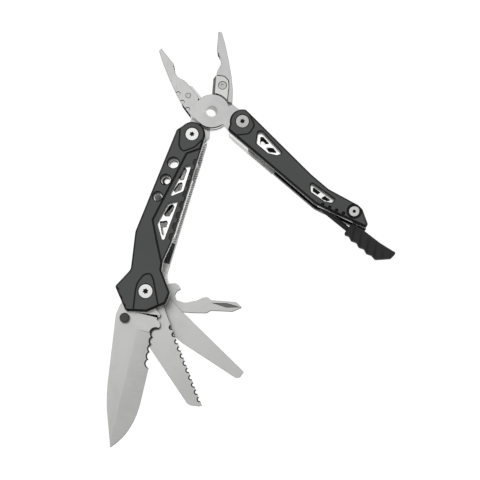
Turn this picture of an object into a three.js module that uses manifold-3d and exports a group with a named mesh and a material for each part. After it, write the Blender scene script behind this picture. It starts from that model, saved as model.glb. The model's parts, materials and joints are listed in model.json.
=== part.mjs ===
// Folding pocket multi tool, drawn open: needle-nose pliers on two handles, and a knife, saw,
// file and bottle opener fanned out of the end of the longer one. Millimetres, +Z up, lying flat.
import * as THREE from 'three';
import { mergeVertices } from 'three/addons/utils/BufferGeometryUtils.js';
import Module from 'manifold-3d';

const wasm = await Module();
wasm.setup();
const rad = Math.PI / 180;

// ---- driving dimensions ---------------------------------------------------------------------

// layers, each one standing on the layer below it
const scaleThickness = 3;
const linerThickness = 1.1;
const shim = 0.1; // between plates that are screwed together
const sideGap = 0.3; // beside anything that turns
const openerThickness = 2;
const fileThickness = 1.4;
const jawHalf = 3.1; // each jaw is half as thick where the two cross
const jawSplit = 0.2;
const sawThickness = 1.2;
const bladeThickness = 2;

// where everything points, in degrees from +X
const rearJawHeading = 85.9;
const jawOpening = 41.5;
const handleAHeading = 254.5;
const handleBHeading = 313.7;
const knifeHeading = 257.2;
const sawHeading = 293.4;
const fileHeading = 318.5;
const openerHeading = 350.5;

// pliers
const tangLength = 18.2; // jaw pivot to handle pivot
const tangAngle = 29.4; // each tang leans this far off the line between the jaws
const jawLength = 45.8;
const hubRadius = 9.6;
const hubGap = 0.5;
const bushRadius = 4.2;
const bushHole = 3.1;
const tangEndRadius = 6;
const insertReach = 0.7; // the cutter inserts pass each other by this much
const insertGap = 0.3;
const insertScrewRadius = 2.3;
const insertPostRadius = 1.3;
const edgeBevelAngle = 38; // along the outer edge of each jaw
const edgeBevelDepth = 2.2;

// handles
const toolPivotX = 87.6; // handle pivot to tool pivot, handle A
const mouthOffset = 8.65; // handle pivot to the handle's open edge, handle A
const mouthFlare = 5.43; // degrees
const noseRadiusA = 7;
const noseRadiusB = 6.9;
const handleBLength = 76.7; // handle pivot to end screw, handle B
const mouthOffsetB = 5.95;
const edgeChamfer = 0.9;
const panelDepth = 0.5;
const grooveDepth = 0.4;
const grooveWidth = 0.65;
const lipWidth = 0.45; // chamfer round every opening in a scale

// pivots and screws
const barrelRadius = 2.6;
const screwRadius = 1.6;
const fitGap = 0.1; // radial clearance of every round fit
const headThickness = 1.1;
const headSink = 0.1;
const rearHeadRadius = 3.4;
const collarRadius = 4.4;
const socketDepth = 0.8;
const slotWidth = 0.8; // screwdriver slot in the rear of each barrel
const slotDepth = 0.5;

// tools
const bladeLength = 81.2;
const sawLength = 66;
const fileLength = 65.4;
const openerLength = 50.1;
const tangRadius = 7.6; // round end of the knife about its pivot
const toolEndRadius = 6.5;
const studRadius = 2.6;
const studHeight = 2.6;
const studPostRadius = 1.2;
const toothPitch = 4;
const toothCount = 11;
const gulletRadius = 0.85;

// fire starter
const gripSlideAngle = 6; // degrees off handle B
const rodRadius = 1.4;
const rodLength = 26;
const rodSeat = 8; // length of rod inside the grip

// ---- layer heights --------------------------------------------------------------------------

const above = (layer, gap, thickness) => [layer[1] + gap, layer[1] + gap + thickness];
const rearScaleZ = [0, scaleThickness];
const rearLinerZ = above(rearScaleZ, shim, linerThickness);
const openerZ = above(rearLinerZ, sideGap, openerThickness);
const fileZ = above(openerZ, sideGap, fileThickness);
const rearJawZ = above(rearLinerZ, sideGap, jawHalf);
const frontJawZ = above(rearJawZ, jawSplit, jawHalf);
const sawZ = above(frontJawZ, sideGap, sawThickness);
const knifeZ = above(sawZ, sideGap, bladeThickness);
const frontLinerAZ = above(knifeZ, shim, linerThickness);
const frontScaleAZ = above(frontLinerAZ, shim, scaleThickness);
const frontLinerBZ = above(frontJawZ, sideGap, linerThickness);
const frontScaleBZ = above(frontLinerBZ, shim, scaleThickness);
const gripZ = [fileZ[0], frontLinerBZ[0] - sideGap];

// ---- outlines: lists of [x, y] points -------------------------------------------------------

// degrees between the points of a round corner, and sides of a round hole or post
const arcStep = (r) => (r < 1.5 ? 30 : r < 6 ? 18 : 10);
const sidesOf = (r) => (r < 2 ? 16 : r < 5 ? 24 : 36);
const polar = (r, angle, cx = 0, cy = 0) => [cx + r * Math.cos(angle * rad), cy + r * Math.sin(angle * rad)];

function arc(cx, cy, r, from, to, step = arcStep(r)) {
  const count = Math.max(1, Math.ceil(Math.abs(to - from) / step));
  return Array.from({ length: count + 1 }, (_, i) => polar(r, from + ((to - from) * i) / count, cx, cy));
}

const circle = (cx, cy, r, sides = sidesOf(r)) => arc(cx, cy, r, 0, 360 - 360 / sides, 360 / sides);
const box = (x0, y0, x1, y1) => [[x0, y0], [x1, y0], [x1, y1], [x0, y1]];

// corners given as [x, y, radius] become round
function rounded(corners) {
  return corners.flatMap(([x, y, r = 0], i) => {
    if (!r) return [[x, y]];
    const before = corners.at(i - 1);
    const after = corners[(i + 1) % corners.length];
    const a = new THREE.Vector2(before[0] - x, before[1] - y).normalize();
    const b = new THREE.Vector2(after[0] - x, after[1] - y).normalize();
    const half = Math.acos(THREE.MathUtils.clamp(a.dot(b), -1, 1)) / 2;
    const middle = a.clone().add(b).normalize().multiplyScalar(r / Math.sin(half));
    const centre = [x + middle.x, y + middle.y];
    const reach = r / Math.tan(half);
    const angleOf = (v) => Math.atan2(y + v.y * reach - centre[1], x + v.x * reach - centre[0]) / rad;
    const from = angleOf(a);
    const turn = THREE.MathUtils.euclideanModulo(angleOf(b) - from + 180, 360) - 180;
    return arc(centre[0], centre[1], r, from, from + turn);
  });
}

// an outline moved outwards by a distance, or inwards by a negative one
function inflate(points, distance) {
  const sign = THREE.ShapeUtils.area(points.map(([x, y]) => ({ x, y }))) > 0 ? 1 : -1;
  return points.map(([x, y], i) => {
    const before = points.at(i - 1);
    const after = points[(i + 1) % points.length];
    const u = new THREE.Vector2(x - before[0], y - before[1]).normalize();
    const v = new THREE.Vector2(after[0] - x, after[1] - y).normalize();
    const normal = new THREE.Vector2(u.y + v.y, -u.x - v.x).normalize();
    const stretch = distance / Math.max(0.4, normal.dot(new THREE.Vector2(u.y, -u.x)));
    return [x + sign * normal.x * stretch, y + sign * normal.y * stretch];
  });
}

// a groove's outline, along an open line of points
function band(points, width) {
  const side = (sign) => points.map(([x, y], i) => {
    const before = points[Math.max(0, i - 1)];
    const after = points[Math.min(points.length - 1, i + 1)];
    const along = new THREE.Vector2(after[0] - before[0], after[1] - before[1]).normalize();
    return [x - sign * along.y * width / 2, y + sign * along.x * width / 2];
  });
  return [...side(1), ...side(-1).reverse()];
}

// ---- solids ---------------------------------------------------------------------------------

function solid(geometry) {
  const bare = geometry.clone();
  bare.deleteAttribute('normal');
  bare.deleteAttribute('uv');
  const merged = mergeVertices(bare, 1e-4);
  return new wasm.Manifold(new wasm.Mesh({
    numProp: 3,
    vertProperties: new Float32Array(merged.attributes.position.array),
    triVerts: new Uint32Array(merged.index.array),
  }));
}

function geometryOf(body) {
  const mesh = body.getMesh();
  const geometry = new THREE.BufferGeometry();
  geometry.setAttribute('position', new THREE.BufferAttribute(new Float32Array(mesh.vertProperties), 3));
  geometry.setIndex(new THREE.BufferAttribute(new Uint32Array(mesh.triVerts), 1));
  geometry.computeVertexNormals();
  return geometry;
}

const shapeOf = (points) => new THREE.Shape(points.map(([x, y]) => new THREE.Vector2(x, y)));

// a flat plate between two heights
function plate(points, [z0, z1]) {
  const geometry = new THREE.ExtrudeGeometry(shapeOf(points), { depth: z1 - z0, bevelEnabled: false });
  return solid(geometry.translate(0, 0, z0));
}

// the same with its edge chamfered on the outer face only: +1 for the upper face, -1 for the lower
function chamferedPlate(points, [z0, z1], chamfer, outer) {
  const depth = z1 - z0 - chamfer;
  const geometry = new THREE.ExtrudeGeometry(shapeOf(points), {
    depth, bevelThickness: chamfer, bevelSize: chamfer, bevelOffset: -chamfer, bevelSegments: 1,
  });
  geometry.translate(0, 0, outer > 0 ? z0 : z0 + chamfer);
  const reach = 400;
  return solid(geometry).intersect(plate(box(-reach, -reach, reach, reach), [z0, z1]));
}

const cut = (body, ...tools) => tools.reduce((rest, tool) => rest.subtract(tool), body);
const disc = (x, y, r, z, sides) => plate(circle(x, y, r, sides), z);

// a round cutter that opens upwards from one radius to another
const funnel = (x, y, low, high, [z0, z1]) => (
  wasm.Manifold.cylinder(z1 - z0, low, high, sidesOf(high)).translate([x, y, z0])
);

// ---- materials ------------------------------------------------------------------------------

const finish = (color, roughness, metalness) => (
  new THREE.MeshStandardMaterial({ color, roughness, metalness })
);
const materials = {
  scale: finish(0x3f4141, 0.5, 0.3),
  liner: finish(0xd8d8d6, 0.3, 0.9),
  blade: finish(0xb4b5b2, 0.35, 0.9),
  jaw: finish(0xbcbcba, 0.45, 0.8),
  cutter: finish(0xd0d0cc, 0.35, 0.9),
  screw: finish(0xc8c8c6, 0.3, 0.9),
  black: finish(0x1e1f20, 0.55, 0.2),
  grip: finish(0x2a2b2c, 0.8, 0),
  rod: finish(0x4a4a4c, 0.6, 0.6),
};

const tool = new THREE.Group();

function group(heading, x = 0, y = 0) {
  const made = new THREE.Group();
  made.position.set(x, y, 0);
  made.rotation.z = heading * rad;
  tool.add(made);
  return made;
}

function add(parent, name, body, material) {
  const mesh = new THREE.Mesh(geometryOf(body), materials[material]);
  mesh.name = name;
  parent.add(mesh);
}

// ---- screws and barrels ---------------------------------------------------------------------

const sixLobe = (r) => Array.from({ length: 24 }, (_, i) => (
  polar(r * (1 + 0.2 * Math.cos(i * 90 * rad)), i * 15)
));
const hexagon = (r) => circle(0, 0, r, 6);

const barrelHole = (x, y, z) => disc(x, y, barrelRadius + fitGap, z);

// a barrel from the rear and a screw from the front, through scales that end at topZ
function screwAndBarrel(parent, name, x, y, topZ, headRadius, socket) {
  const headZ = [topZ - headSink - headThickness, topZ - headSink];
  const rearHeadZ = [headSink, headSink + headThickness];
  const tubeTop = headZ[0] - headSink;
  const screwLength = (topZ - headThickness) / 2;
  const boreZ = [headZ[0] - screwLength - sideGap, topZ];
  const tube = disc(0, 0, rearHeadRadius, rearHeadZ).add(disc(0, 0, barrelRadius, [rearHeadZ[0], tubeTop]));
  const barrel = cut(tube, disc(0, 0, screwRadius + fitGap, boreZ),
    plate(box(-rearHeadRadius, -slotWidth / 2, rearHeadRadius, slotWidth / 2), [0, headSink + slotDepth]));
  const head = chamferedPlate(circle(0, 0, headRadius), headZ, 0.3, 1);
  const screw = cut(head.add(disc(0, 0, screwRadius, [headZ[0] - screwLength, headZ[1] - socketDepth])),
    plate(socket, [headZ[1] - socketDepth, topZ]));
  add(parent, `${name}_barrel`, barrel.translate([x, y, 0]), 'screw');
  add(parent, `${name}_screw`, screw.translate([x, y, 0]), 'screw');
}

// counterbore and hole for a screw in the front scale, or for a barrel in the rear one
function seat(x, y, z, outer, headRadius) {
  const face = outer > 0 ? z[1] : z[0];
  const sink = outer * (headSink + headThickness + fitGap);
  const counterbore = [Math.min(face - sink, face + outer), Math.max(face - sink, face + outer)];
  return barrelHole(x, y, z).add(disc(x, y, headRadius + fitGap, counterbore));
}

// a cut of this depth into the outer face of a scale
const into = (z, outer, depth) => (outer > 0 ? [z[1] - depth, z[1] + 1] : [z[0] - 1, z[0] + depth]);

// a cut along the rim of an opening that widens towards the outer face
function lip(points, z, outer) {
  const geometry = new THREE.ExtrudeGeometry(shapeOf(points), {
    depth: 1, bevelThickness: lipWidth, bevelSize: lipWidth, bevelSegments: 1,
  });
  return solid(geometry.translate(0, 0, outer > 0 ? z[1] : z[0] - 1));
}

// ---- pliers ---------------------------------------------------------------------------------

// The jaw is drawn pointing along +X with its outer side towards +Y, for the jaw whose hub lies
// in front; the other jaw is the same piece turned over.
const tangPivot = [-tangLength * Math.cos(tangAngle * rad), -tangLength * Math.sin(tangAngle * rad)];
const tip = jawLength;
const closeGap = 0.12; // half the gap between the closed jaws
const toothRadius = 0.5;
const jawToothPitch = 1.3;
const gripPitch = 1.4;

const noseOutline = rounded([
  [8, 1], [tip - 24, 1], [tip - 21.8, 1.6, 1.5], [tip - 19, 2.9, 2], [tip - 16, 2.7, 1.5],
  [tip - 11.4, closeGap, 0.6], [tip, closeGap], [tip - 0.3, 2, 0.7], [tip - 7.7, 4.6, 20],
  [tip - 16.8, 7.1, 20], [tip - 26, 9.3, 20], [tip - 33, 10.4, 12], [5.3, 10.6],
]);

const tangOutline = rounded([
  [-2, -0.5], [-14.2, -0.5, 0.4], ...arc(...tangPivot, tangEndRadius, 134, 300),
  [-7.4, -12, 0.8], [-3.7, -11.1, 0.5], [-3.3, 1 - hubRadius], [0, -2],
]);

const insertOutline = rounded([
  [6, -insertReach], [19, -insertReach, 1], [20.4, 0.6, 0.6], [20.1, 5.2, 1.6], [18, 7.6, 1.2],
  [14.5, 8.1, 1], [6, 7.8],
]);

const insertScrewAt = [15, 4.7];
const stripperAt = [[19.3, 8.3], [14, 9.4], [9, 9.6]];
const bothJawsZ = [rearJawZ[0], frontJawZ[1]];
const turnOver = (body, over) => (
  over ? body.rotate([180, 0, 0]).translate([0, 0, bothJawsZ[0] + bothJawsZ[1]]) : body
);

function jaw(parent, name, over) {
  const full = bothJawsZ;
  const nose = cut(plate(noseOutline, full), disc(0, 0, hubRadius + hubGap, full));
  const bridge = plate([[0, 4], [12, 1.5], [12, 9.5], [5.3, 10.6], [0, hubRadius - 0.3]], frontJawZ);
  const hub = disc(0, 0, hubRadius, frontJawZ).add(plate(tangOutline, frontJawZ)).add(bridge);
  const insertZ = [full[0], rearJawZ[1]];
  const pocket = plate(inflate(insertOutline, insertGap), [full[0] - 1, insertZ[1] + insertGap]);
  const teeth = Array.from({ length: 7 }, (_, i) => {
    const x = tip - 20.6 + i * jawToothPitch;
    return disc(x, 2.1 - Math.max(0, i - 3) * 0.45, toothRadius, full, 8);
  });
  const gripLines = Array.from({ length: 7 }, (_, i) => {
    const x = tip - 10 + i * gripPitch;
    return plate([[x - 0.35, 0], [x + 0.35, 0], [x, closeGap + 0.3]], full);
  });
  const strippers = stripperAt.map(([x, y]) => {
    const mark = [...arc(0, 0, 1.1, -160, -20, 35), [1.1, 3], [-1.1, 3]];
    return plate(mark, [full[1] - 0.6, full[1] + 1]).rotate([0, 0, -12]).translate([x, y, 0]);
  });
  const bevel = plate([[10, 11.6], [tip + 3, 2.8], [tip + 3, 20], [10, 20]], [0, 4])
    .rotate([-edgeBevelAngle, 0, 0]).translate([0, 3.4, full[1] - edgeBevelDepth + 6.1]);
  const body = cut(nose.add(hub), disc(0, 0, bushRadius + fitGap, full),
    barrelHole(...tangPivot, full), pocket, disc(...insertScrewAt, insertPostRadius + fitGap, full),
    ...teeth, ...gripLines, ...strippers, bevel);
  add(parent, name, turnOver(body, over), 'jaw');

  const plain = cut(plate(insertOutline, insertZ), disc(0, 0, hubRadius + hubGap + insertGap, full),
    disc(...insertScrewAt, insertPostRadius + fitGap, full),
    disc(...insertScrewAt, insertScrewRadius + fitGap, [full[0] - 1, full[0] + 1.1]));
  const edgeCut = plate(box(0, -8, 30, 0), [-3, 0]).rotate([-40, 0, 0]).translate([0, 0.9, full[0]]);
  add(parent, `${name}_cutter`, turnOver(cut(plain, edgeCut), over), 'cutter');

  const head = chamferedPlate(circle(0, 0, insertScrewRadius), [full[0], full[0] + 1], 0.25, -1);
  const screw = cut(head.add(disc(0, 0, insertPostRadius, [full[0] + 0.6, full[1] - 0.05])),
    plate(hexagon(1), [full[0] - 1, full[0] + 0.6])).translate([...insertScrewAt, 0]);
  add(parent, `${name}_cutter_screw`, turnOver(screw, over), 'screw');
}

const rearJaw = group(rearJawHeading);
const frontJaw = group(rearJawHeading + jawOpening);
jaw(frontJaw, 'front_jaw', false);
jaw(rearJaw, 'rear_jaw', true);
add(frontJaw, 'pivot_bush', cut(disc(0, 0, bushRadius, bothJawsZ), disc(0, 0, bushHole, bothJawsZ)), 'jaw');

// ---- handle A -------------------------------------------------------------------------------

const pivotA = polar(tangLength, rearJawHeading + 180 - tangAngle);
const handleA = group(handleAHeading, ...pivotA);
const k = toolPivotX;
const mouth = (x) => -(mouthOffset + x * Math.tan(mouthFlare * rad));
const backEdge = (x) => noseRadiusA - (x * 1.5) / (k - 27.8);
const thumbNotch = [[k - 12.9, 4.7, 1.5], [k - 17.8, 4, 3], [k - 27.8, backEdge(k - 27.8), 6]];

const outlineA = (notched) => rounded([
  ...arc(0, 0, noseRadiusA, 90, 244), [-0.5, mouth(0), 1.2], [k - 29, mouth(k - 29), 6],
  [k - 9, -10.8, 4], [k + 1.6, -16.2, 1.6], [k + 12.4, -7.2, 1.8], [k + 10, 3.4, 2],
  [k + 3.4, 11.7, 1.6], [k - 2.6, 12.4, 1.6], ...(notched ? thumbNotch : [[k - 12.9, 6, 6]]),
]);

const upperWindow = rounded([
  [17.6, 1.1, 0.8], [16, 4.3, 0.8], [31.2, 4, 1], [35.4, -1.4, 0.8], [34.2, -2.3, 0.8],
]);
const lowerWindow = rounded([[39.3, -1.9, 1], [36.6, 3, 0.8], [60.8, 1.5, 0.8], [51.2, -4.6, 1.5]]);
const linerSlots = [
  [[19.2, 0.9, 0.5], [18.4, 2.6, 0.7], [24.8, 2.3, 0.5], [25.6, 0.2, 0.5]],
  [[27.6, 0.6, 0.5], [26.4, 2.6, 0.5], [30.4, 2.5, 0.5], [33.4, -1.2, 0.5]],
  [[40.6, -0.8, 0.5], [38.8, 1.7, 0.7], [45.6, 1.1, 0.4], [46.4, -2.2, 0.4]],
  [[50.2, -3.2, 0.4], [48.6, 0.6, 0.4], [57.8, 0.5, 0.4]],
];
const frontHoles = [[17.8, -5.2, 2.9], [27.6, -6.6, 2.65], [37.5, -8.1, 2.4]];
const rearHoles = [[15.6, -6.7, 2.7], [25.2, -7.8, 2]];
const panelGroove = { width: 0.9, depth: 0.75 };
const panelLine = [[5.2, 8.5], [11, 0.2], [50.4, -7.1], [60.2, -2.1], [70.6, 3.5], [71.5, 9]];
const island = rounded([[-3.2, -7.4], [7.6, -5, 2.5], [10.8, -2.4, 2], [6.6, 3.4, 4], [-1, 7.6]]);
const arch = rounded([
  [k + 13, -3], [k + 1.2, -5.1, 3], [k - 2.8, -5.4, 4], [k - 8, -3.4, 3], [k - 9.8, 0, 2],
  [k - 7, 2.2, 3], [k + 5, 8.2, 4], [k + 7.6, 10.2],
]);
const notchCount = 8;
const notchPitch = 6;
const notchDepth = 0.9;
const notchHalf = 1.75;
const notchReach = 1.9; // in from the edge of the handle
const sideNotches = Array.from({ length: notchCount }, (_, i) => {
  const x = 14.4 + i * notchPitch;
  return [x, backEdge(x)];
});
const endNotchDepth = 1.7;
const endNotches = [[k + 3, -14.8], [k + 6.7, -11.8], [k + 10.3, -8.9]];
const headRadiusA = 3.7;
const headRadiusK = 3.9;

function scaleA(name, z, outer, notched) {
  const rear = outer < 0;
  const holes = (rear ? rearHoles : frontHoles).map(([x, y, r]) => circle(x, y, r));
  const openings = [...holes, upperWindow, lowerWindow];
  const grooves = [island, arch].map((line) => plate(band(line, grooveWidth), into(z, outer, grooveDepth)));
  const panel = plate(panelLine, into(z, outer, panelDepth))
    .add(plate(band(panelLine, panelGroove.width), into(z, outer, panelGroove.depth)));
  const sides = sideNotches.map(([x, y]) => {
    const [left, right] = [x - notchHalf, x + notchHalf];
    const inner = y - notchReach;
    const dent = [[left, y + 2], [left, inner, 0.9], [right, inner, 0.9], [right, y + 2]];
    return plate(rounded(dent), into(z, outer, notchDepth));
  });
  const ends = endNotches.map(([x, y]) => disc(x, y, 1.2, into(z, outer, endNotchDepth), 12));
  const body = cut(chamferedPlate(outlineA(notched), z, edgeChamfer, outer),
    ...openings.map((points) => plate(points, z)), ...openings.map((points) => lip(points, z, outer)),
    panel, ...grooves, ...sides, ...ends,
    seat(0, 0, z, outer, rear ? rearHeadRadius : headRadiusA),
    seat(k, 0, z, outer, rear ? rearHeadRadius : headRadiusK));
  add(handleA, name, body, 'scale');
}

scaleA('rear_scale_a', rearScaleZ, -1, false);
scaleA('front_scale_a', frontScaleAZ, 1, true);

// The lock leaf swings towards the knife about its root; its outer edge is bare at the waist.
const leafRoot = k - 38;
const leafTip = k - 8.2;
const leafInner = -4.8;
const leafGap = 0.35;
const leafOutline = [
  [leafRoot, leafInner], [leafRoot, mouth(leafRoot) + 1.4], [k - 29, mouth(k - 29)],
  [k - 9.6, -10.8], [leafTip, -9.6], [leafTip, leafInner],
];
const leafSlot = [
  [leafRoot - leafGap, leafInner + leafGap], [leafRoot - leafGap, -30], [leafTip + leafGap, -30],
  [leafTip + leafGap, leafInner + leafGap],
];

// the rear liner stands out past the scales along the back, with a ridged edge
const stripReach = 0.9;
const ridgeStart = 9;
const ridgePitch = 1.3;
const ridgeDepth = 0.4;
const ridgeCount = 36;
const ridges = Array.from({ length: ridgeCount * 2 }, (_, i) => {
  const x = ridgeStart + (i * ridgePitch) / 2;
  return [x, backEdge(x) + stripReach - (i % 2) * ridgeDepth];
});
const stripEnd = ridgeStart + ridgeCount * ridgePitch;
const ridgedStrip = [[ridgeStart - 2, backEdge(0) - 1], ...ridges, [stripEnd + 2, backEdge(stripEnd) - 1]];
const plainStrip = [
  [22, backEdge(22) - 1], [24, backEdge(24) + 0.7], [stripEnd, backEdge(stripEnd) + 0.7],
  [stripEnd + 2, backEdge(stripEnd) - 1],
];
const slotStep = 0.5; // the upper half of each slot in the front liners is stepped back on two sides

function linerA(name, z, notched, openHoles, strip, extra) {
  const holes = openHoles.map(([x, y, r]) => disc(x, y, r - 0.5, z));
  const slots = linerSlots.map((slot) => plate(rounded(slot), z));
  const sheet = plate(outlineA(notched), z).add(plate(strip, z));
  const body = cut(sheet, ...holes, ...slots, ...extra,
    barrelHole(0, 0, z), barrelHole(k, 0, z));
  add(handleA, name, body, 'liner');
}

const steps = linerSlots.map((slot) => (
  plate(rounded(slot.map(([x, y, r]) => [x - slotStep, y - slotStep, r])), into(frontLinerAZ, 1, slotStep))
));
linerA('rear_liner_a', rearLinerZ, false, rearHoles, ridgedStrip, []);
linerA('front_liner_a', frontLinerAZ, true, frontHoles, plainStrip,
  [plate(leafSlot, frontLinerAZ), ...steps]);
add(handleA, 'lock_leaf', plate(leafOutline, frontLinerAZ), 'liner');

screwAndBarrel(handleA, 'pivot_a', 0, 0, frontScaleAZ[1], headRadiusA, sixLobe(1.45));
screwAndBarrel(handleA, 'tool_pivot', k, 0, frontScaleAZ[1], headRadiusK, sixLobe(1.6));
const ring = (x, y, outerRadius, z) => cut(disc(x, y, outerRadius, z), barrelHole(x, y, z));
const collarAZ = [rearJawZ[1] + shim, frontLinerAZ[0] - shim];
add(handleA, 'pivot_a_collar', ring(0, 0, collarRadius, collarAZ), 'screw');
add(handleA, 'tool_spacer', ring(k, 0, toolEndRadius, [fileZ[1] + shim, sawZ[0] - shim]), 'liner');

const pillarAt = [13.4, 4.9];
const pillarRadius = 1.6;
const pillarZ = [rearLinerZ[1] + shim, frontLinerAZ[0] - shim];
add(handleA, 'handle_pillar', disc(...pillarAt, pillarRadius, pillarZ), 'screw');
const barEdges = [-12.1, -9.3];
const barEnds = [k - 21.5, k - 11.8];
const stopBar = rounded([
  [barEnds[0], barEdges[0], 0.8], [barEnds[1], barEdges[0], 0.8], [barEnds[1], barEdges[1], 0.8],
  [barEnds[0], barEdges[1], 0.8],
]);
add(handleA, 'stop_bar', plate(stopBar, [rearLinerZ[1] + shim, sawZ[0] - shim]), 'liner');

// ---- tools on the end of handle A -----------------------------------------------------------

const toolPivot = [pivotA[0] + polar(k, handleAHeading)[0], pivotA[1] + polar(k, handleAHeading)[1]];
const knife = group(knifeHeading, ...toolPivot);
const saw = group(sawHeading, ...toolPivot);
const file = group(fileHeading, ...toolPivot);
const opener = group(openerHeading, ...toolPivot);

const studAt = [15.6, -7.7];
const serrationStart = 18;
const serrationPitch = 3.9;
const serrationCount = 5;
const serrationRadius = 2.3;
const serrationsAt = Array.from({ length: serrationCount }, (_, i) => {
  const step = serrationCount - 1 - i;
  return [serrationStart + (step + 0.5) * serrationPitch, 9.7 + step * 0.2];
});
const serrations = serrationsAt.flatMap(([x, y]) => arc(x, y, serrationRadius, -35, -145, 28));
const b = bladeLength;
const belly = new THREE.QuadraticBezierCurve(
  new THREE.Vector2(b, 0.9), new THREE.Vector2(b - 10.2, 11), new THREE.Vector2(b - 27.4, 10.4),
).getPoints(12).map(({ x, y }) => [x, y]);
const bladeOutline = rounded([
  [-7.6, -3.2], [-7.6, -6.4, 0.6], [3, -8.3, 5], [9, -11.8, 3], [14.5, -12.8, 4], [b - 28.6, -8, 60],
  [b - 19.1, -5.8, 30], ...belly, [37.7, 10.3], ...serrations,
  [17.9, 8.6, 0.5], [17.3, 10.5, 0.8], [15.6, 11.3, 0.8], [13.6, 10.4, 0.6], [12.9, 8.8], [10.6, 8.3],
  [12.4, 9.6, 0.5], [9.8, 10.1, 0.8], [7.4, 6.9, 1], ...arc(0, 0, tangRadius, 60, 180),
]);
const grindTop = 0.2;
const grindAngle = 4.4;
const bladeMiddle = (knifeZ[0] + knifeZ[1]) / 2;
const grindCut = (up) => {
  const z = up > 0 ? [0, 4] : [-4, 0];
  return plate(box(20, 0, b + 10, 16), z).rotate([-up * grindAngle, 0, 0])
    .translate([0, grindTop, bladeMiddle + (up * bladeThickness) / 2]);
};
// each serration is ground hollow from the front, and a tapering groove runs in from the notch
const hollowDepth = 1.3;
const hollowWidth = 1.1;
const hollowZ = [knifeZ[1] - hollowDepth, knifeZ[1] + hollowDepth];
const hollows = serrationsAt.map(([x, y]) => (
  funnel(x, y, serrationRadius, serrationRadius + 2 * hollowWidth, hollowZ)
));
const notchGroove = plate([[10.3, 9.4], [11.8, 9.4], [11.3, -2.4]], [knifeZ[1] - 0.35, knifeZ[1] + 1]);
add(knife, 'knife_blade', cut(plate(bladeOutline, knifeZ), barrelHole(0, 0, knifeZ),
  disc(...studAt, studPostRadius + fitGap, knifeZ), grindCut(1), grindCut(-1), ...hollows, notchGroove),
'blade');
const studZ = above(knifeZ, shim, studHeight);
const stud = chamferedPlate(circle(...studAt, studRadius), studZ, 0.5, 1)
  .add(disc(...studAt, studPostRadius, [knifeZ[0] + shim, studZ[1] - 1]));
add(knife, 'thumb_stud', stud, 'black');

const s = sawLength;
const toothLine = (x) => 4.8 - (x - 21.8) * 0.028;
const gulletHollow = 0.6; // deep and wide, from the front
const gullets = Array.from({ length: toothCount }, (_, i) => {
  const x = s - 44.2 + i * toothPitch;
  const hollowed = [sawZ[1] - gulletHollow, sawZ[1] + gulletHollow];
  return disc(x, toothLine(x), gulletRadius, sawZ, 12)
    .add(funnel(x, toothLine(x), gulletRadius, gulletRadius + 2 * gulletHollow, hollowed));
});
const sawOutline = rounded([
  ...arc(0, 0, toolEndRadius, 75, 255), [14, -9.4, 5], [24, -10.2, 5], [s - 4.8, -2.9, 2.5],
  [s - 3.3, -1.8, 1], [s, 3.9, 0.3], [s - 0.4, toothLine(s)], [14, 5.1, 5],
]);
add(saw, 'saw_blade', cut(plate(sawOutline, sawZ), barrelHole(0, 0, sawZ), ...gullets), 'blade');

const f = fileLength;
const fileOutline = rounded([
  ...arc(0, 0, toolEndRadius, 80, 260), [12, -7.4, 5], [f - 35, -7.1, 10], [f - 23, -5.3, 30],
  [f - 1.6, -2.2, 0.6], [f, -0.6, 0.6], [f - 0.4, 2.9, 0.5], [20.3, 5.1, 10], [8, 6, 4],
]);
add(file, 'file_driver', cut(plate(fileOutline, fileZ), barrelHole(0, 0, fileZ)), 'blade');

const o = openerLength;
const hook = [
  [9.4, 7.5, 1.5], [13.3, 8.4, 1], [15.4, 7.3, 1], [16.6, 5.6, 0.5], [14.9, 4.7, 0.8], [13.8, 2.2, 2],
  [15.3, -0.5, 1.8], [20, -1.2, 4],
];
const openerOutline = rounded([
  ...arc(0, 0, toolEndRadius, 100, 265), [19.7, -6.1, 3], [o - 24.1, -5.5, 4], [o - 18, -4.6, 1.5],
  [o - 16, -2.9, 1], [o - 4.6, -1.6, 1], [o, 1.3, 0.3], [o - 3.4, 3.6, 0.8], [o - 16.6, 2.5, 1],
  [o - 19, 3.8, 1.4], [o - 21.6, 2.9, 2], [26.3, 1.2, 3], ...hook.reverse(),
]);
const fluteDepth = 0.5;
const fluteOutline = [[o - 16, 1.1], [o - 8, 2.2], [o - 1, 1.2], [o - 8, -0.1]];
const flutes = [1, -1].map((outer) => plate(fluteOutline, into(openerZ, outer, fluteDepth)));
const openerBody = cut(plate(openerOutline, openerZ), barrelHole(0, 0, openerZ), ...flutes);
add(opener, 'opener_driver', openerBody, 'blade');

// ---- handle B -------------------------------------------------------------------------------

const pivotB = polar(tangLength, rearJawHeading + jawOpening + 180 + tangAngle);
const handleB = group(handleBHeading, ...pivotB);
const e = handleBLength;
const outlineB = rounded([
  ...arc(0, 0, noseRadiusB, 122, 238), [-2.2, -8.8, 1.3], [e - 17.2, -3.8, 10], [e + 10.6, 6.4, 1.3],
  [e + 9.8, 8.4, 1.3], [e + 2.2, 12, 1.4], [e - 1, 12, 3], [e - 18, 6.9, 8],
  [e - 30, mouthOffsetB, 12], [-1, mouthOffsetB, 1.3],
]);
const windowsB = [
  [[10, 1.9, 0.5], [11.2, 3.6, 0.8], [27.6, 3, 0.8], [26.4, 0.2, 1], [22.2, -2.4, 1.5], [14, -3.1, 1]],
  [
    [e - 27.4, 2.6, 0.8], [e - 11.4, 5.3, 0.8], [e - 11.6, 2.8, 0.8], [e - 14.6, 0.7, 1.5],
    [e - 23.4, -0.9, 1],
  ],
];
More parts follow.
